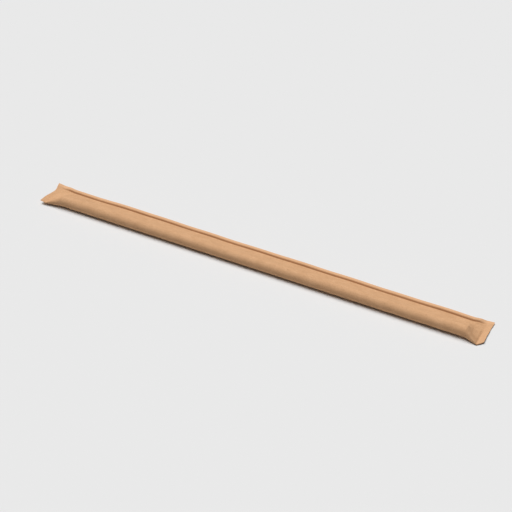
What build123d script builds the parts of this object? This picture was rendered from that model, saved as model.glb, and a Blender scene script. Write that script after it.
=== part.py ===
"""A drinking straw sealed in its own paper sleeve, lying flat.

The sleeve is one strip of kraft paper, folded once along its length. Its two long edges are sealed
together as a narrow flat margin, and both its ends are pressed flat and sealed. The straw lies
against the fold and can't be seen, so the sealed pack is one closed solid of its outer form. Its
section is a teardrop: flat underneath, round where the paper hugs the straw, then straight down to
a crease, with the margin beyond. Past each end of the straw the teardrop closes down to two layers
of paper. One corner is folded back.

Frame: X along the straw, Y across the sleeve with the margin on +Y, Z up. The origin is the middle
of the underside. Millimetres.
"""

from build123d import *
import math
import os

# The straw
straw_diameter = 6.0
straw_length = 240.0

# The sleeve
paper = 0.08  # one layer
sleeve_width = 19.5  # of the sleeve pressed flat, from fold to outer edge
margin_width = 2.5  # of the sealed margin, from crease to outer edge
left_tail = 12.0  # of sleeve beyond the straw at its -X end
right_tail = 10.0  # the same at its +X end
seal_length = 3.0  # of each tail's pressed end
folded_corner = 3.5  # along each edge of the corner that is folded back

# Worked out from those
back_radius = straw_diameter / 2 + paper
two_layers = 2 * paper
sleeve_length = left_tail + straw_length + right_tail
half_length = sleeve_length / 2
half_width = sleeve_width / 2
paper_round = 2 * (sleeve_width - margin_width - paper) + math.pi * paper  # from crease to crease


def slope_to_crease(radius, reach):
    """Length and slope, in radians, of the straight paper that runs from the round down to the crease.

    The crease is two layers up, at the distance reach from the middle of the round.
    """
    rise = radius - two_layers
    distance = math.hypot(reach, rise)
    length = math.sqrt(distance**2 - radius**2)
    slope = math.atan2(rise, reach) + math.asin(radius / distance)
    return length, slope


def reach_to_crease(radius):
    """Distance from the middle of the round to the crease that uses all the paper, found step by step."""
    reach = sleeve_width - margin_width
    for _ in range(60):
        length, slope = slope_to_crease(radius, reach)
        used = reach + radius * (math.pi + slope) + length
        reach -= (used - paper_round) / 2
    return reach


def on_round(middle, radius, angle):
    """The point at an angle, in radians up from +Y, on a round that touches the ground under its middle."""
    return (middle + radius * math.cos(angle), radius + radius * math.sin(angle))


def teardrop(x, radius):
    """The sleeve's section at x, round over the given radius and centred across the sleeve."""
    reach = reach_to_crease(radius)
    _, slope = slope_to_crease(radius, reach)
    middle = (radius - reach - margin_width) / 2
    crease = middle + reach
    outer_edge = crease + margin_width
    shoulder_angle = math.pi / 2 - slope
    foot = on_round(middle, radius, -math.pi / 2)
    heel = on_round(middle, radius, -3 * math.pi / 4)
    side = on_round(middle, radius, math.pi)
    crown = on_round(middle, radius, (math.pi + shoulder_angle) / 2)
    shoulder = on_round(middle, radius, shoulder_angle)
    edges = [
        Line((outer_edge, 0), foot),
        ThreePointArc(foot, heel, side),
        ThreePointArc(side, crown, shoulder),
        Line(shoulder, (crease, two_layers)),
        Line((crease, two_layers), (outer_edge, two_layers)),
        Line((outer_edge, two_layers), (outer_edge, 0)),
    ]
    across = Plane(origin=(x, 0, 0), x_dir=(0, 1, 0), z_dir=(1, 0, 0))
    return across * Face(Wire(edges))


def corner_cut():
    """The wedge that the folded corner takes off, at the fold's side of the +X end."""
    corner = Polyline(
        (half_length, -half_width),
        (half_length, -half_width + folded_corner),
        (half_length - folded_corner, -half_width),
        (half_length, -half_width),
    )
    return extrude(make_face(corner), amount=2 * back_radius)


def wrapped_straw():
    """The sealed pack: seal, tent, the straw's length, tent and seal, flat underneath at Z 0."""
    sections = [
        teardrop(-half_length, paper),
        teardrop(-half_length + seal_length, paper),
        teardrop(-half_length + left_tail, back_radius),
        teardrop(half_length - right_tail, back_radius),
        teardrop(half_length - seal_length, paper),
        teardrop(half_length, paper),
    ]
    return loft(sections, ruled=True) - corner_cut()


os.makedirs("parts", exist_ok=True)
export_step(wrapped_straw(), "parts/wrapped_straw.step")
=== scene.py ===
"""The looks of a paper-wrapped drinking straw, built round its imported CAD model.

The CAD solid stays for collision, and one detailed mesh of the paper sleeve stands for it: two layers of
kraft paper that are round over the straw, open into a tent past each of its ends, and are pressed together
in the margin and in both end seals. One corner of the sleeve is folded under. Lengths are in metres.
"""

import math

import bmesh
import bpy
import numpy as np
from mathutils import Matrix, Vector


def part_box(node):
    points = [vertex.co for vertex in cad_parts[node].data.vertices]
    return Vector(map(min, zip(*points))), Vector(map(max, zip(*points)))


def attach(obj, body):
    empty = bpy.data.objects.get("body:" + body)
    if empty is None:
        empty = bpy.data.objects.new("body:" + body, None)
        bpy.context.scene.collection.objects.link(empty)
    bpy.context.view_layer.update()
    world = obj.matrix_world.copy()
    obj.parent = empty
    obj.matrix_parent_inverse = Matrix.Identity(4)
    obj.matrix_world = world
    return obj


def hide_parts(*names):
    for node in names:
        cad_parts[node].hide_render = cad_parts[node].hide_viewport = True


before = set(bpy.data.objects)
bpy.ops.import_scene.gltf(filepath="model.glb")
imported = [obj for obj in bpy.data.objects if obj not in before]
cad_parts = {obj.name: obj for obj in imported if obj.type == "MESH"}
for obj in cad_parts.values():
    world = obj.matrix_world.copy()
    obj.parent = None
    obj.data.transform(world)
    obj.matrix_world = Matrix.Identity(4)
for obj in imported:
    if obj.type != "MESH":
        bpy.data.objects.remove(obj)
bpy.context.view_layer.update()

MM = 0.001
LOW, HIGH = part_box("wrapped_straw")

# The sleeve
PAPER = 0.08 * MM  # one layer
MARGIN = 2.5 * MM  # sealed margin, from crease to outer edge
LEFT_TAIL = 12.0 * MM  # sleeve beyond the straw at its -X end
RIGHT_TAIL = 10.0 * MM  # the same at its +X end
SEAL = 3.0 * MM  # pressed end of each tail
FOLDED_CORNER = 3.48 * MM  # along each edge of the corner that is folded under
FOLD_RADIUS = 0.24 * MM
FOLD_TURN = math.radians(166)

# Worked out from the frame
WIDTH = HIGH.y - LOW.y
ROUND_RADIUS = (HIGH.z - LOW.z) / 2
STRAW_LEFT = LOW.x + LEFT_TAIL
STRAW_RIGHT = HIGH.x - RIGHT_TAIL
PAPER_ROUND = 2 * (WIDTH - MARGIN - PAPER) + math.pi * PAPER

# The tents beyond the straw's ends
RIM_SOFTNESS = 0.055  # of the tent's length, over which the straw's end rounds off the paper
TENT_ONSET = 0.25  # of the tent's length, over which it opens from the seal
TENT_START = 0.35  # of that onset is already behind it at the seal
PLEAT_HEIGHT = 0.07 * MM
PLEAT_CENTRE = -5.4 * MM  # Y that the pleats fan out from, which is about the straw's axis
PLEAT_SPREAD = 4.0 * MM  # from the straw's end back to the fan's centre
PLEAT_OVERLAP = 1.0 * MM  # of the pleats over the straw
PLEAT_FADE = 1.2
BROAD_PLEATS, FINE_PLEATS = 5.5, 21  # for each radian of the fan
PLEAT_SHARPNESS = 0.7
FINE_PLEAT_SHARE = 0.5
PLEAT_SHIFT = (0, 6)  # range of each fan's random phase
RIM_HEIGHT = 0.04 * MM
RIM_HALF_WIDTH = 0.5 * MM

# The margin and the paper beside the crease
MARGIN_STEEP = math.radians(62)  # slope of the margin where it leaves the crease
MARGIN_EASY = math.radians(6)  # its slope further out
MARGIN_BEND = 1.05 * MM  # distance over which the one becomes the other
MARGIN_SAMPLES = 60  # steps in which that bend is added up
MARGIN_REACH = 1.05  # of the margin's width, that they cover
CREASE_LIFT = 0.6 * MM  # of the crease off the ground over the straw
CREASE_RISE = 1.3  # power by which that lift grows towards the crease
CREASE_QUICKNESS = 1.15  # with which it comes in as the sleeve opens
UNEVENNESS = 0.3
UNEVEN_WAVES = (80 * MM, 22 * MM, 8)
BEND_UNEVENNESS = 0.15
BEND_RANGE = (0.5, 1.2)
LIP_HEIGHT = 0.34 * MM  # of the loose paper that stands up beside the crease
LIP_PLACE = 1.25 * MM  # from the crease
LIP_HALF_WIDTH = 0.62 * MM
LIP_QUICKNESS = 1.6
PUCKER_HEIGHT = 0.035 * MM
PUCKER_PITCH = 2.6 * MM
PUCKER_SLANT = 0.5
PUCKER_PLACE = 1.3 * MM  # from the crease
PUCKER_HALF_WIDTH = 1.1 * MM
PUCKER_WANDER = 1.5
PUCKER_WANDER_WAVES = (12 * MM, 5 * MM, 5)
PUCKER_STRENGTH_WAVES = (40 * MM, 12 * MM, 5)
PUCKER_STRENGTH_LIMIT = 1.5

# Relief of the loose paper. Waves are given as their longest, their shortest and how many
SOFT_HEIGHT = 0.10 * MM
SOFT_WAVES = (60 * MM, 14 * MM, 12)
FINE_HEIGHT = 0.03 * MM
FINE_WAVES = (9 * MM, 3 * MM, 16)
ROUND_HEIGHT = 0.02 * MM
ROUND_WAVES = (14 * MM, 4 * MM, 12)
SQUEEZE = 2  # of the finer waves across the sleeve
SAG = 0.16 * MM
LOOSE_SHARE = 0.78  # of the way from the round to the outer edge
LOOSE_FULLNESS = 0.8
DENTS = 16
DENT_DEPTH = 0.07 * MM
DENT_HALF_WIDTH = 0.7 * MM
DENT_LENGTHS = (2.5 * MM, 5.0 * MM)
DENT_BAND = (-2 * MM, 5 * MM)  # of Y that they lie in
DENT_TURNS = (0.5, 1.3)  # from the straw's direction, either way

# Crimped seals and crumpled tails
CRIMP_HEIGHT = 0.03 * MM
CRIMP_PITCH = 0.75 * MM
CRIMP_INNER_FADE = 0.6 * MM
CRIMP_END_FADE = 0.3 * MM
CRIMP_EDGE_FADE = 0.8 * MM
CRIMP_FOLD_FADE = 1.2 * MM
CRUMPLES = 9  # in each tail
CRUMPLE_HEIGHT = 0.15 * MM
CRUMPLE_HALF_WIDTH = 0.55 * MM
CRUMPLE_LENGTHS = (1.2 * MM, 2.6 * MM)
CRUMPLE_CLEARANCE = 2 * MM  # from the sleeve's edge at the straw's side
CRUMPLE_NEAR_FADE = 1.5 * MM
CRUMPLE_CREASE_FADE = 1.0 * MM

# How the tails curl up and the cut ends draw in
LEFT_LIFT, LEFT_CORNER_LIFT = 1.9 * MM, 0.9 * MM
RIGHT_LIFT, RIGHT_CORNER_LIFT = 0.7 * MM, 0.45 * MM
EVEN_LIFT = 0.25 * MM
CURL_POWER = 1.3
LIFT_START, LIFT_SPAN = 0.12, 0.75  # of the width, from the margin's side
CORNER_SPAN, CORNER_POWER = 0.35, 1.6
SWAY = 0.10 * MM  # of the margin from side to side
SWAY_WAVES = (90 * MM, 25 * MM, 8)
NOTCH_DEPTH = 1.35 * MM  # of the -X end
NOTCH_PLACES = (0, 0.30, 0.52, 0.64, 0.72, 0.86, 1)  # across the width
NOTCH_SHAPE = (0, 0.52, 0.90, 1.0, 0.88, 0.42, 0)
RIGHT_BOW = 0.3 * MM
END_RIPPLE = 0.05 * MM
END_RIPPLE_TURNS = 19  # radians over the width

# The mesh
CORNER_STEPS = 17  # rows over the folded corner, END_STEP apart, so that the fold runs along their diagonals
REST_STEPS = 25  # rows from there to the crease
SLOPE_STEPS = CORNER_STEPS + REST_STEPS
MARGIN_STEPS = 12
ROUND_STEPS = 26
EVEN_ROWS = 0.35  # share of even spacing in the rows, which otherwise crowd towards the crease
MARGIN_CROWDING = 1.25
END_STEP = 0.2 * MM
BODY_STEP = 0.6 * MM
END_REACH = 5.0 * MM  # fine steps run this far past each end of the straw
SPLIT_DEPTH = 0.7  # of a step, of the groove between the two layers at a cut end
SOLVER_ROUNDS = 60
BOTTOM = -math.pi / 2  # direction from a round's middle to the ground
SHARP_ANGLE = math.radians(50)

# Points of one section's outline, in order
LAYER = SLOPE_STEPS + MARGIN_STEPS + 1  # points in one layer's straight run
UNDER = slice(0, LAYER)
ROUND = slice(LAYER, LAYER + ROUND_STEPS - 1)
TOP = slice(LAYER + ROUND_STEPS - 1, 2 * LAYER + ROUND_STEPS - 1)
CREASE = TOP.start + SLOPE_STEPS
EDGE = 2 * LAYER + ROUND_STEPS - 1
LOOP = EDGE + 1

# Where the paper is stored as pressed and lighter, with a painted highlight on the margin, and as creased and
# darker, with painted shade along the crease
SEAL_PRESSED = 0.25
SEAL_SOFTNESS = 1.0 * MM
# The margin's lighter band: pressed paper, and partly a painted highlight
MARGIN_PRESSED_AND_HIGHLIT_FROM = 0.4 * MM
MARGIN_PRESSED_AND_HIGHLIT_OVER = 0.9 * MM
# Width of the crease's dark line, which is partly pressed paper and partly painted shade
CREASED_AND_SHADED_HALF_WIDTH = 0.42 * MM

# The paper's colours and grain. Scales are of noise, for each metre
PAPER_DARK = (0.545, 0.305, 0.156)
PAPER_MID = (0.625, 0.358, 0.188)
PAPER_LIGHT = (0.700, 0.415, 0.228)
TONE_STOPS = [(0.30, PAPER_DARK), (0.50, PAPER_MID), (0.70, PAPER_LIGHT)]
FIBRE_DARK = (0.400, 0.205, 0.095)
FIBRE_LIGHT = (0.800, 0.520, 0.310)
BARK = (0.210, 0.105, 0.050)
# Light tone of pressed paper; on the margin it is also a painted highlight
PRESSED_AND_HIGHLIT = (0.800, 0.480, 0.275)
# Dark brown of the crease line: partly the pressed paper's own tone, partly painted shade of the crease's
# valley
CREASED_AND_SHADED = (0.400, 0.205, 0.098)
PRESSED_AND_HIGHLIT_STRENGTH = 0.55
CREASED_AND_SHADED_STRENGTH = 0.72
FORMATION_SCALE, FORMATION_STRETCH = 260, (0.7, 1, 1)
GRAIN_SCALE, GRAIN_SHARE = 2600, 0.45
RIB_SCALE, RIB_STRETCH, RIB_SHARE = 3800, (0.02, 1, 1), 0.16
FIBRE_SCALE, FIBRE_SCALE_STEP, FIBRE_STRETCH = 6200, 500, (0.07, 1, 1)
FIBRE_TURNS = (0.12, 0.83, 2.05, 2.75)  # directions in which fibres lie, in radians
FIBRE_BEND = 0.2
FIBRE_RANGE = (0.60, 0.72, 0.42)  # from none to all of it, and its strength
SPECK_SCALE, SPECK_STRETCH, SPECK_TURN = 1700, (0.45, 1, 1), 0.6
SPECK_RANGE = (0.755, 0.79, 0.6)
ROUGHNESS = 0.8
SPECULAR = 0.22
TOOTH_GRAIN = 0.4  # share of grain in the paper's tooth, the rest being fibres
TOOTH_STRENGTH = 0.32
TOOTH_DEPTH = 0.03 * MM

# The floor and the light
FLOOR_HALF = 3.0
FLOOR_DROP = 0.01 * MM
FLOOR_COLOUR = (0.75, 0.75, 0.75, 1)
FLOOR_ROUGHNESS = 0.9
FLOOR_SPECULAR = 0.1
KEY_ENERGY = 3.30
KEY_WIDTH = math.radians(45)
KEY_TURN = -150  # degrees round from the camera
KEY_ELEVATION = 70
FILL_STRENGTH = 0.10

# The camera
VIEW_AZIMUTH = 26.6
VIEW_ELEVATION = 40.0
VIEW_DISTANCE = 0.738
VIEW_SENSOR = 36
VIEW_LENS = 97.0
VIEW_NEAR = 0.01

rng = np.random.default_rng(11)


def smooth_step(t):
    """0 below 0, 1 above 1, and a smooth rise between."""
    t = np.clip(t, 0.0, 1.0)
    return t * t * (3 - 2 * t)


def bell(distance, half_width):
    """1 at no distance, falling smoothly to about a third at the half width."""
    return np.exp(-((distance / half_width) ** 2))


def turned(x, y, place, turn):
    """Distances from a place along a turned line and aside from it."""
    along = (x - place[0]) * math.cos(turn) + (y - place[1]) * math.sin(turn)
    aside = (y - place[1]) * math.cos(turn) - (x - place[0]) * math.sin(turn)
    return along, aside


def from_nearer_end(x):
    """Distance in from the nearer end of the sleeve."""
    return np.minimum(x - LOW.x, HIGH.x - x)


def waves(x, y, longest, shortest, count):
    """Smooth random relief of about unit height, from a sum of plane waves in the paper's plane."""
    total = np.zeros(np.broadcast(x, y).shape)
    for _ in range(count):
        length = math.exp(rng.uniform(math.log(shortest), math.log(longest)))
        turn = rng.uniform(0, math.pi)
        phase = rng.uniform(0, 2 * math.pi)
        total = total + np.sin((x * math.cos(turn) + y * math.sin(turn)) * 2 * math.pi / length + phase)
    return total / math.sqrt(count)


def stations():
    """Places along X where the sleeve's section is drawn, close together at the ends."""
    left_end = STRAW_LEFT + END_REACH
    right_end = STRAW_RIGHT - END_REACH
    left = np.arange(LOW.x, left_end, END_STEP)
    body = np.arange(left_end, right_end, BODY_STEP)
    right = np.append(np.arange(right_end, HIGH.x - END_STEP / 2, END_STEP), HIGH.x)
    return np.concatenate([left, body, right])


def tent(distance, tail):
    """How open the sleeve is, from 0 at the seal to 1 over the straw, at a distance in from its end."""
    t = (distance - SEAL) / (tail - SEAL)
    rounded = t - RIM_SOFTNESS * np.logaddexp(0, (t - 1) / RIM_SOFTNESS)
    return np.clip(rounded * smooth_step(t / TENT_ONSET + TENT_START), 0.0, 1.0)


def reach_to_crease(radius):
    """Distance from the middle of each round to the crease that uses all the paper, and the paper's slope."""
    reach = np.full_like(radius, WIDTH - MARGIN)
    for _ in range(SOLVER_ROUNDS):
        distance = np.hypot(reach, radius - 2 * PAPER)
        slope = np.arctan2(radius - 2 * PAPER, reach) + np.arcsin(radius / distance)
        used = reach + radius * (math.pi + slope) + np.sqrt(distance**2 - radius**2)
        reach = reach - (used - PAPER_ROUND) / 2
    return reach, slope


def across_shares():
    """Shares of the way from the round to the crease, and on to the outer edge."""
    corner_share = CORNER_STEPS * END_STEP / (WIDTH - MARGIN - PAPER)
    corner = np.linspace(0, corner_share, CORNER_STEPS + 1)
    rest = np.linspace(0, 1, REST_STEPS + 1)[1:]
    rest = EVEN_ROWS * rest + (1 - EVEN_ROWS) * np.sin(rest * math.pi / 2)
    margin = np.linspace(0, 1, MARGIN_STEPS + 1)[1:] ** MARGIN_CROWDING
    return np.concatenate([corner, corner_share + (1 - corner_share) * rest]), margin


def straight(start, crease, outer):
    """Points along a layer, from the round's edge at start to the crease and across the margin."""
    slope, margin = across_shares()
    to_crease = start[:, None] + (crease - start)[:, None] * slope
    to_edge = crease[:, None] + (outer - crease)[:, None] * margin
    return np.concatenate([to_crease, to_edge], axis=1)


def plain_sections(x):
    """Y and Z of every section's points: the underside inwards, the round, the top outwards, and the edge."""
    opening = np.minimum(tent(x - LOW.x, LEFT_TAIL), tent(HIGH.x - x, RIGHT_TAIL))
    radius = PAPER + (ROUND_RADIUS - PAPER) * opening
    reach, slope = reach_to_crease(radius)
    middle = (radius - reach - MARGIN) / 2
    crease = middle + reach
    outer = crease + MARGIN
    under_y = straight(middle, crease, outer)[:, ::-1]
    under_z = np.zeros_like(under_y)
    share = np.linspace(0, 1, ROUND_STEPS + 1)[1:-1]
    angle = BOTTOM - share * (math.pi + slope)[:, None]
    round_y = middle[:, None] + radius[:, None] * np.cos(angle)
    round_z = radius[:, None] * (1 + np.sin(angle))
    shoulder_y = middle + radius * np.sin(slope)
    shoulder_z = radius * (1 + np.cos(slope))
    edge_z = np.full_like(radius, 2 * PAPER)
    top_y = straight(shoulder_y, crease, outer)
    top_z = straight(shoulder_z, edge_z, edge_z)
    y = np.concatenate([under_y, round_y, top_y, outer[:, None]], axis=1)
    z = np.concatenate([under_z, round_z, top_z, edge_z[:, None] / 2], axis=1)
    return y, z, opening


def sleeve_points():
    """Every point of the sleeve's surface, as an array of sections by points by X, Y and Z."""
    x = stations()
    y, z, opening = plain_sections(x)
    x = np.repeat(x[:, None], LOOP, axis=1)
    points = np.stack([x, y, z], axis=2)
    points = add_relief(points, opening)
    points = raise_margin(points, opening)
    points = crumple_tails(points, opening)
    points = curl_tails(points)
    points = bow_ends(points)
    points = fold_corner(points)
    points[..., 2] = np.maximum(points[..., 2], LOW.z)
    return points


def outward(points):
    """Unit normals of the sections' outlines, which point out of the paper."""
    along = np.gradient(points, axis=0)
    around = np.roll(points, -1, axis=1) - np.roll(points, 1, axis=1)
    normal = np.cross(around, along)
    length = np.linalg.norm(normal, axis=2, keepdims=True)
    return -normal / np.maximum(length, 1e-12)


def add_relief(points, opening):
    """Soft waves, tent pleats, the straw's rim, the lip and puckers by the crease, and the crimp."""
    x, y, z = points[..., 0], points[..., 1], points[..., 2]
    normal = outward(points)
    height = np.zeros(x.shape)
    shares = np.linspace(0, 1, LAYER)
    loose = np.zeros(x.shape)
    loose[:, TOP] = np.sin(np.pi * np.clip(shares / LOOSE_SHARE, 0, 1)) ** LOOSE_FULLNESS
    open_here = opening[:, None]
    loose = loose * open_here
    height += loose * SOFT_HEIGHT * waves(x, y, *SOFT_WAVES)
    height += loose * FINE_HEIGHT * waves(x, y * SQUEEZE, *FINE_WAVES)
    height -= loose * SAG
    height[:, ROUND] += ROUND_HEIGHT * waves(x, z * SQUEEZE, *ROUND_WAVES)[:, ROUND] * open_here
    height += tent_pleats(x, y, opening)
    height += loose * handling_dents(x, y)
    height += straw_rim(x)
    height[:, UNDER] = 0
    height[:, EDGE] = 0
    height[:, TOP] += crease_lip(y[:, TOP], opening)
    height[:, TOP] += puckers(x[:, TOP], y[:, TOP], opening)
    height += crimp(x, y)
    return points + normal * height[..., None]


def tent_pleats(x, y, opening):
    """Fine pleats that fan out from the straw's end towards the seal, and fade out at both."""
    strength = (4 * opening * (1 - opening)) ** PLEAT_FADE
    total = np.zeros(x.shape)
    for beyond in (STRAW_LEFT - x, x - STRAW_RIGHT):
        angle = np.arctan2(y - PLEAT_CENTRE, np.maximum(beyond, 0) + PLEAT_SPREAD)
        broad = np.abs(np.sin(angle * BROAD_PLEATS + rng.uniform(*PLEAT_SHIFT)))
        fine = np.sin(angle * FINE_PLEATS + rng.uniform(*PLEAT_SHIFT))
        pleats = 1 - 2 * broad**PLEAT_SHARPNESS + FINE_PLEAT_SHARE * fine
        total += np.where(beyond > -PLEAT_OVERLAP, pleats, 0) * strength[:, None]
    return total * PLEAT_HEIGHT


def handling_dents(x, y):
    """Short soft dents across the loose paper, from handling."""
    total = np.zeros(x.shape)
    for _ in range(DENTS):
        place = rng.uniform(STRAW_LEFT, STRAW_RIGHT), rng.uniform(*DENT_BAND)
        turn = rng.choice([-1, 1]) * rng.uniform(*DENT_TURNS)
        length = rng.uniform(*DENT_LENGTHS)
        along, aside = turned(x, y, place, turn)
        total += bell(along, length) * bell(aside, DENT_HALF_WIDTH)
    return -DENT_DEPTH * total


def straw_rim(x):
    """A faint ring where the paper passes over each end of the straw."""
    return RIM_HEIGHT * (bell(x - STRAW_LEFT, RIM_HALF_WIDTH) + bell(x - STRAW_RIGHT, RIM_HALF_WIDTH))


def crease_lip(top_y, opening):
    """The loose paper's small bulge beside the crease, which fades out at both seals."""
    from_crease = top_y - top_y[:, SLOPE_STEPS : SLOPE_STEPS + 1]
    fade = np.clip(opening[:, None] * LIP_QUICKNESS, 0, 1)
    return LIP_HEIGHT * bell(from_crease + LIP_PLACE, LIP_HALF_WIDTH) * fade


def puckers(x, top_y, opening):
    """Short fine wrinkles across the paper beside the crease, which the jaws gather."""
    from_crease = top_y - top_y[:, SLOPE_STEPS : SLOPE_STEPS + 1]
    band = bell(from_crease + PUCKER_PLACE, PUCKER_HALF_WIDTH) * opening[:, None]
    wander = waves(x, top_y, *PUCKER_WANDER_WAVES)
    strength = np.clip(waves(x, 0 * top_y, *PUCKER_STRENGTH_WAVES), 0, PUCKER_STRENGTH_LIMIT)
    phase = 2 * math.pi * (x + PUCKER_SLANT * top_y) / PUCKER_PITCH + PUCKER_WANDER * wander
    return PUCKER_HEIGHT * strength * band * np.sin(phase)


def crimp(x, y):
    """Fine parallel ridges pressed into both end seals, clear of the fold and the long edges."""
    from_end = from_nearer_end(x)
    inside = smooth_step((SEAL - from_end) / CRIMP_INNER_FADE) * smooth_step(from_end / CRIMP_END_FADE)
    inside = inside * smooth_step((y - LOW.y) / CRIMP_EDGE_FADE) * smooth_step((HIGH.y - y) / CRIMP_EDGE_FADE)
    from_fold = (HIGH.x - FOLDED_CORNER - x + y - LOW.y) / math.sqrt(2)
    inside = inside * smooth_step(from_fold / CRIMP_FOLD_FADE)
    return inside * CRIMP_HEIGHT * np.sin(2 * math.pi * from_end / CRIMP_PITCH)


def raise_margin(points, opening):
    """Lifts the crease off the ground, and stands the margin up from it like a shoulder."""
    x, y = points[..., 0], points[..., 1]
    open_here = smooth_step(opening[:, None] * CREASE_QUICKNESS)
    crease = y[:, CREASE][:, None]
    middle = y[:, ROUND].min(axis=1)[:, None] + ROUND_RADIUS
    uneven = 1 + UNEVENNESS * waves(x, 0 * y, *UNEVEN_WAVES)
    share = np.clip((y - middle) / (crease - middle), 0, 1)
    points[..., 2] += CREASE_LIFT * uneven * open_here * share**CREASE_RISE
    beyond = np.clip(y - crease, 0, None)
    steps, run, rise = margin_bend()
    bend = open_here * np.clip(1 - BEND_UNEVENNESS + BEND_UNEVENNESS * uneven, *BEND_RANGE)
    points[..., 2] += np.interp(beyond, steps, rise) * bend
    points[..., 1] += (np.interp(beyond, steps, run) - beyond) * bend
    return points


def margin_bend():
    """Distances out along the margin, and how far each has run and risen."""
    steps = np.linspace(0, MARGIN * MARGIN_REACH, MARGIN_SAMPLES)
    slope = MARGIN_EASY + (MARGIN_STEEP - MARGIN_EASY) * np.exp(-((steps / MARGIN_BEND) ** 4))
    step = steps[1] - steps[0]
    run = np.concatenate([[0], np.cumsum(np.cos(slope[:-1]) * step)])
    rise = np.concatenate([[0], np.cumsum(np.sin(slope[:-1]) * step)])
    return steps, run, rise


def crumples(x, y):
    """A few small sharp folds in each tail, where fingers and jaws have bent the paper."""
    total = np.zeros(x.shape)
    for first, last in ((LOW.x + SEAL, STRAW_LEFT), (STRAW_RIGHT, HIGH.x - SEAL)):
        for _ in range(CRUMPLES):
            place = rng.uniform(first, last), rng.uniform(LOW.y + CRUMPLE_CLEARANCE, HIGH.y - MARGIN)
            along, aside = turned(x, y, place, rng.uniform(0, math.pi))
            ridge = np.exp(-np.abs(aside) / CRUMPLE_HALF_WIDTH) * bell(along, rng.uniform(*CRUMPLE_LENGTHS))
            total += rng.choice([-1, 1]) * ridge
    return CRUMPLE_HEIGHT * total


def crumple_tails(points, opening):
    """Crumples both layers where they are pressed together, and only the top one where they part."""
    x, y = points[..., 0], points[..., 1]
    near = y[:, ROUND].min(axis=1)[:, None]
    crease = y[:, CREASE][:, None]
    inside = smooth_step((y - near) / CRUMPLE_NEAR_FADE) * smooth_step((crease - y) / CRUMPLE_CREASE_FADE)
    shift = crumples(x, y) * inside
    points[:, TOP, 2] += shift[:, TOP]
    points[:, UNDER, 2] += (shift * (1 - opening[:, None]))[:, UNDER]
    return points


def curl_tails(points):
    """Lifts the tails, most at the straw's side and a little at the outer corners, and sways the margin."""
    x, y = points[..., 0], points[..., 1]
    near = np.clip((HIGH.y - y) / WIDTH, 0, 1)
    for distance, tail, lift, corner in (
        (STRAW_LEFT - x, LEFT_TAIL, LEFT_LIFT, LEFT_CORNER_LIFT),
        (x - STRAW_RIGHT, RIGHT_TAIL, RIGHT_LIFT, RIGHT_CORNER_LIFT),
    ):
        t = np.clip(distance / tail, 0, 1) ** CURL_POWER
        profile = lift * smooth_step((near - LIFT_START) / LIFT_SPAN)
        profile = profile + corner * np.clip(1 - near / CORNER_SPAN, 0, 1) ** CORNER_POWER
        points[..., 2] += t * (profile + EVEN_LIFT)
    points[..., 1] += SWAY * waves(x, 0 * y, *SWAY_WAVES) * np.clip(y / HIGH.y, 0, 1)
    return points


def bow_ends(points):
    """Draws the middle of each cut end in a little, as the tent does to the real paper."""
    x, y = points[..., 0], points[..., 1]
    across = np.clip((y - LOW.y) / WIDTH, 0, 1)
    ripple = END_RIPPLE * np.sin(across * END_RIPPLE_TURNS)
    left = np.clip((STRAW_LEFT - x) / LEFT_TAIL, 0, 1) ** 2
    right = np.clip((x - STRAW_RIGHT) / RIGHT_TAIL, 0, 1) ** 2
    notch = NOTCH_DEPTH * np.interp(across, NOTCH_PLACES, NOTCH_SHAPE)
    points[..., 0] += left * (notch + ripple) - right * (RIGHT_BOW * np.sin(np.pi * across) + ripple)
    return points


def fold_corner(points):
    """Folds the corner at the straw's side of the +X end under, round a small radius."""
    normal = Vector((1, -1)).normalized()
    beyond = (points[..., 0] + FOLDED_CORNER - HIGH.x) * normal.x + (points[..., 1] - LOW.y) * normal.y
    middle_z = fold_axis_height(points)
    offset = points[..., 2] - middle_z
    bend = np.clip(beyond / FOLD_RADIUS, 0, FOLD_TURN)
    rest = np.maximum(beyond - FOLD_RADIUS * FOLD_TURN, 0)
    forward = FOLD_RADIUS * np.sin(bend) + rest * np.cos(bend) + offset * np.sin(bend)
    down = -FOLD_RADIUS * (1 - np.cos(bend)) - rest * np.sin(bend) + offset * np.cos(bend)
    folded = beyond > 0
    shift = np.where(folded, forward - beyond, 0)
    points[..., 0] += shift * normal.x
    points[..., 1] += shift * normal.y
    points[..., 2] = np.where(folded, middle_z + down, points[..., 2])
    return points


def fold_axis_height(points):
    """Height of the middle between the two layers, for every point of every section."""
    middle = (points[:, UNDER, 2][:, ::-1] + points[:, TOP, 2]) / 2
    height = np.empty(points.shape[:2])
    height[:, UNDER] = middle[:, ::-1]
    height[:, ROUND] = middle[:, :1]
    height[:, TOP] = middle
    height[:, EDGE] = middle[:, -1]
    return height


def skin_faces(sections):
    """Faces between neighbouring sections, all the way round, split along the fold at the folded corner."""
    faces = []
    first_split = sections - 1 - round(2 * FOLDED_CORNER / END_STEP)
    for i in range(sections - 1):
        for k in range(LOOP):
            after = (k + 1) % LOOP
            a, b, c, d = i * LOOP + k, i * LOOP + after, (i + 1) * LOOP + after, (i + 1) * LOOP + k
            if i < first_split:
                faces.append((a, b, c, d))
            elif k < UNDER.stop:
                faces += [(a, b, d), (b, c, d)]
            else:
                faces += [(a, b, c), (a, c, d)]
    return faces


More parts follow.
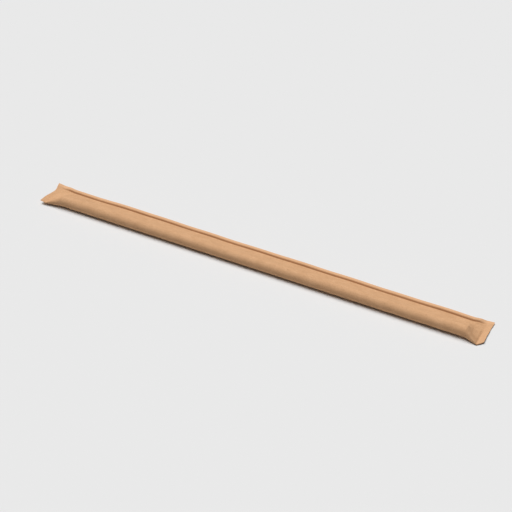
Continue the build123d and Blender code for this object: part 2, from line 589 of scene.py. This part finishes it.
def end_cap(points, section, inward, first_new):
    """Points and faces that close one end, with a fine groove between the two layers."""
    under = [UNDER.stop - 1 - k for k in range(LAYER)]
    top = [TOP.start + k for k in range(LAYER)]
    middle = (points[:, under] + points[:, top]) / 2
    groove = middle[section] + SPLIT_DEPTH * (middle[section + inward] - middle[section])
    at = section * LOOP
    faces = []
    for k in range(LAYER - 1):
        a, b = first_new + k, first_new + k + 1
        faces.append((at + under[k], a, b, at + under[k + 1]))
        faces.append((a, at + top[k], at + top[k + 1], b))
    outline = [under[0]] + list(range(ROUND.start, ROUND.stop)) + [top[0]]
    for p, q in zip(outline, outline[1:]):
        faces.append((at + p, at + q, first_new))
    last = first_new + LAYER - 1
    faces.append((at + under[-1], last, at + EDGE))
    faces.append((last, at + top[-1], at + EDGE))
    return groove, faces


def mark_pressed_highlit_and_shaded(mesh, points):
    """Stores where the paper is pressed and lighter, in the end seals and in the margin, where the lightening
    is also a painted highlight, and where it is creased and darker, partly with painted shade.
    """
    from_end = from_nearer_end(np.repeat(stations()[:, None], LOOP, axis=1))
    from_crease = points[..., 1] - points[:, CREASE, 1][:, None]
    seal = SEAL_PRESSED * smooth_step((SEAL - from_end) / SEAL_SOFTNESS + 0.5)
    # Lighter margin: pressed paper, and partly a painted highlight
    margin = smooth_step((from_crease - MARGIN_PRESSED_AND_HIGHLIT_FROM) / MARGIN_PRESSED_AND_HIGHLIT_OVER)
    # Darkening along the crease: partly pressed paper, partly painted shade
    crease = bell(from_crease, CREASED_AND_SHADED_HALF_WIDTH) * smooth_step(from_end / SEAL - 1)
    for name, values in (("pressed_and_highlit", np.maximum(seal, margin)), ("creased_and_shaded", crease)):
        layer = mesh.attributes.new(name, "FLOAT", "POINT")
        whole = np.zeros(len(mesh.vertices))
        whole[: values.size] = values.ravel()
        layer.data.foreach_set("value", whole)


def build_sleeve():
    """The paper sleeve as one closed mesh."""
    points = sleeve_points()
    sections = points.shape[0]
    faces = skin_faces(sections)
    left_points, left_faces = end_cap(points, 0, 1, sections * LOOP)
    right_points, right_faces = end_cap(points, sections - 1, -1, sections * LOOP + LAYER)
    vertices = np.concatenate([points.reshape(-1, 3), left_points, right_points])
    mesh = bpy.data.meshes.new("paper_sleeve")
    mesh.from_pydata(vertices.tolist(), [], faces + left_faces + right_faces)
    mesh.validate()
    sleeve = bpy.data.objects.new("paper_sleeve", mesh)
    bpy.context.scene.collection.objects.link(sleeve)
    tidy_normals(mesh)
    mark_pressed_highlit_and_shaded(mesh, points)
    return sleeve


def tidy_normals(mesh):
    """Turns every face outwards, shades them smooth and keeps the cut edges sharp."""
    work = bmesh.new()
    work.from_mesh(mesh)
    bmesh.ops.recalc_face_normals(work, faces=work.faces)
    work.to_mesh(mesh)
    work.free()
    mesh.polygons.foreach_set("use_smooth", [True] * len(mesh.polygons))
    mesh.set_sharp_from_angle(angle=SHARP_ANGLE)


def kraft_paper():
    """Unbleached kraft paper: evenly mottled brown, crossed by fine fibres, matt, with a fine tooth; lighter
    where pressed, with a painted highlight on the margin, and darker at the crease, partly painted shade.
    """
    material = bpy.data.materials.new("kraft_paper")
    material.use_nodes = True
    tree = material.node_tree
    shader = tree.nodes["Principled BSDF"]
    shader.inputs["Roughness"].default_value = ROUGHNESS
    shader.inputs["Specular IOR Level"].default_value = SPECULAR
    place = tree.nodes.new("ShaderNodeTexCoord").outputs["Object"]
    formation = noise(tree, place, FORMATION_SCALE, FORMATION_STRETCH, 0, detail=6)
    grain = noise(tree, place, GRAIN_SCALE, (1, 1, 1), 0, detail=5)
    rib = noise(tree, place, RIB_SCALE, RIB_STRETCH, 0, detail=2)
    tone = blend(tree, blend(tree, formation, grain, GRAIN_SHARE), rib, RIB_SHARE)
    colour, fibres = lay_fibres(tree, place, ramp(tree, tone, TONE_STOPS))
    specks = noise(tree, place, SPECK_SCALE, SPECK_STRETCH, SPECK_TURN, detail=1)
    colour = over(tree, colour, BARK, ramp_value(tree, specks, *SPECK_RANGE))
    # Lighter seals and margin: pressed paper, and on the margin partly a painted highlight
    colour = over(tree, colour, PRESSED_AND_HIGHLIT, mark(tree, "pressed_and_highlit", PRESSED_AND_HIGHLIT_STRENGTH))
    # The crease's dark line: partly pressed paper, partly painted shade
    colour = over(tree, colour, CREASED_AND_SHADED, mark(tree, "creased_and_shaded", CREASED_AND_SHADED_STRENGTH))
    tree.links.new(colour, shader.inputs["Base Color"])
    bump = tree.nodes.new("ShaderNodeBump")
    bump.inputs["Strength"].default_value = TOOTH_STRENGTH
    bump.inputs["Distance"].default_value = TOOTH_DEPTH
    tree.links.new(blend(tree, fibres, grain, TOOTH_GRAIN), bump.inputs["Height"])
    tree.links.new(bump.outputs["Normal"], shader.inputs["Normal"])
    return material


def lay_fibres(tree, place, colour):
    """A colour crossed by light and dark fibres in turn, and the fibres' relief."""
    fibres = None
    for i, turn in enumerate(FIBRE_TURNS):
        scale = FIBRE_SCALE - FIBRE_SCALE_STEP * i
        fibre = noise(tree, place, scale, FIBRE_STRETCH, turn, detail=1, bend=FIBRE_BEND)
        tint = FIBRE_DARK if i % 2 else FIBRE_LIGHT
        colour = over(tree, colour, tint, ramp_value(tree, fibre, *FIBRE_RANGE))
        fibres = fibre if fibres is None else blend(tree, fibres, fibre, 0.5)
    return colour, fibres


def mark(tree, name, strength):
    """A value stored on the mesh, times a strength."""
    stored = tree.nodes.new("ShaderNodeAttribute")
    stored.attribute_name = name
    return ramp_value(tree, stored.outputs["Fac"], 0.0, 1.0, strength)


def ramp_value(tree, value, start, end, strength):
    """A value that is 0 up to start and rises to strength at end."""
    node = tree.nodes.new("ShaderNodeMapRange")
    node.inputs["From Min"].default_value = start
    node.inputs["From Max"].default_value = end
    node.inputs["To Max"].default_value = strength
    tree.links.new(value, node.inputs["Value"])
    return node.outputs["Result"]


def over(tree, under, colour, share):
    """A colour laid over another by a share that varies over the surface."""
    mix = tree.nodes.new("ShaderNodeMix")
    mix.data_type = "RGBA"
    tree.links.new(share, mix.inputs[0])
    tree.links.new(under, mix.inputs[6])
    mix.inputs[7].default_value = (*colour, 1)
    return mix.outputs[2]


def noise(tree, place, scale, stretch, turn, detail, bend=0):
    """A noise texture's value at a place that is turned about Z and scaled by stretch along each axis."""
    turned_place = tree.nodes.new("ShaderNodeMapping")
    turned_place.inputs["Rotation"].default_value = (0, 0, turn)
    tree.links.new(place, turned_place.inputs["Vector"])
    stretched = tree.nodes.new("ShaderNodeMapping")
    stretched.inputs["Scale"].default_value = stretch
    tree.links.new(turned_place.outputs["Vector"], stretched.inputs["Vector"])
    texture = tree.nodes.new("ShaderNodeTexNoise")
    texture.inputs["Scale"].default_value = scale
    texture.inputs["Detail"].default_value = detail
    texture.inputs["Distortion"].default_value = bend
    tree.links.new(stretched.outputs["Vector"], texture.inputs["Vector"])
    return texture.outputs["Fac"]


def blend(tree, first, second, share):
    """A mix of two values, with the given share of the second."""
    mix = tree.nodes.new("ShaderNodeMix")
    mix.data_type = "FLOAT"
    mix.inputs[0].default_value = share
    tree.links.new(first, mix.inputs[2])
    tree.links.new(second, mix.inputs[3])
    return mix.outputs[0]


def ramp(tree, value, stops):
    """A colour from a value, through stops of position and colour."""
    node = tree.nodes.new("ShaderNodeValToRGB")
    elements = node.color_ramp.elements
    while len(elements) < len(stops):
        elements.new(0.5)
    for element, (position, colour) in zip(elements, stops):
        element.position = position
        element.color = (*colour, 1)
    tree.links.new(value, node.inputs["Fac"])
    return node.outputs["Color"]


def plain_floor():
    """A wide pale floor just under the sleeve."""
    mesh = bpy.data.meshes.new("floor")
    corners = [(x * FLOOR_HALF, y * FLOOR_HALF, 0) for x, y in ((-1, -1), (1, -1), (1, 1), (-1, 1))]
    mesh.from_pydata(corners, [], [(0, 1, 2, 3)])
    floor = bpy.data.objects.new("floor", mesh)
    floor.location.z = LOW.z - FLOOR_DROP
    bpy.context.scene.collection.objects.link(floor)
    mesh.materials.append(floor_material())


def floor_material():
    """A pale matt floor."""
    material = bpy.data.materials.new("floor")
    material.use_nodes = True
    shader = material.node_tree.nodes["Principled BSDF"]
    shader.inputs["Base Color"].default_value = FLOOR_COLOUR
    shader.inputs["Roughness"].default_value = FLOOR_ROUGHNESS
    shader.inputs["Specular IOR Level"].default_value = FLOOR_SPECULAR
    return material


def direction(azimuth, elevation):
    """Unit vector from the object towards an azimuth, 0 at -Y and rising towards +X, and an elevation."""
    a, e = math.radians(azimuth), math.radians(elevation)
    return Vector((math.sin(a) * math.cos(e), -math.cos(a) * math.cos(e), math.sin(e)))


def studio_light():
    """One broad soft light from above and behind, and a weak even fill, shown without any film look."""
    lamp = bpy.data.lights.new("key", "SUN")
    lamp.energy = KEY_ENERGY
    lamp.angle = KEY_WIDTH
    key = bpy.data.objects.new("key", lamp)
    key.rotation_euler = direction(VIEW_AZIMUTH + KEY_TURN, KEY_ELEVATION).to_track_quat("Z", "Y").to_euler()
    bpy.context.scene.collection.objects.link(key)
    world = bpy.data.worlds.new("studio")
    world.use_nodes = True
    background = world.node_tree.nodes["Background"]
    background.inputs["Color"].default_value = (1, 1, 1, 1)
    background.inputs["Strength"].default_value = FILL_STRENGTH
    bpy.context.scene.world = world
    bpy.context.scene.view_settings.view_transform = "Standard"


def camera():
    """The camera, at the photograph's angle, with the whole sleeve in view."""
    data = bpy.data.cameras.new("camera")
    data.sensor_width = VIEW_SENSOR
    data.lens = VIEW_LENS
    data.clip_start = VIEW_NEAR
    view = bpy.data.objects.new("camera", data)
    back = direction(VIEW_AZIMUTH, VIEW_ELEVATION)
    middle = Vector(((LOW.x + HIGH.x) / 2, (LOW.y + HIGH.y) / 2, ROUND_RADIUS))
    view.location = middle + back * VIEW_DISTANCE
    view.rotation_euler = back.to_track_quat("Z", "Y").to_euler()
    bpy.context.scene.collection.objects.link(view)
    bpy.context.scene.camera = view


sleeve = build_sleeve()
sleeve.data.materials.append(kraft_paper())
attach(sleeve, "root")
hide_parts("wrapped_straw")
plain_floor()
studio_light()
camera()
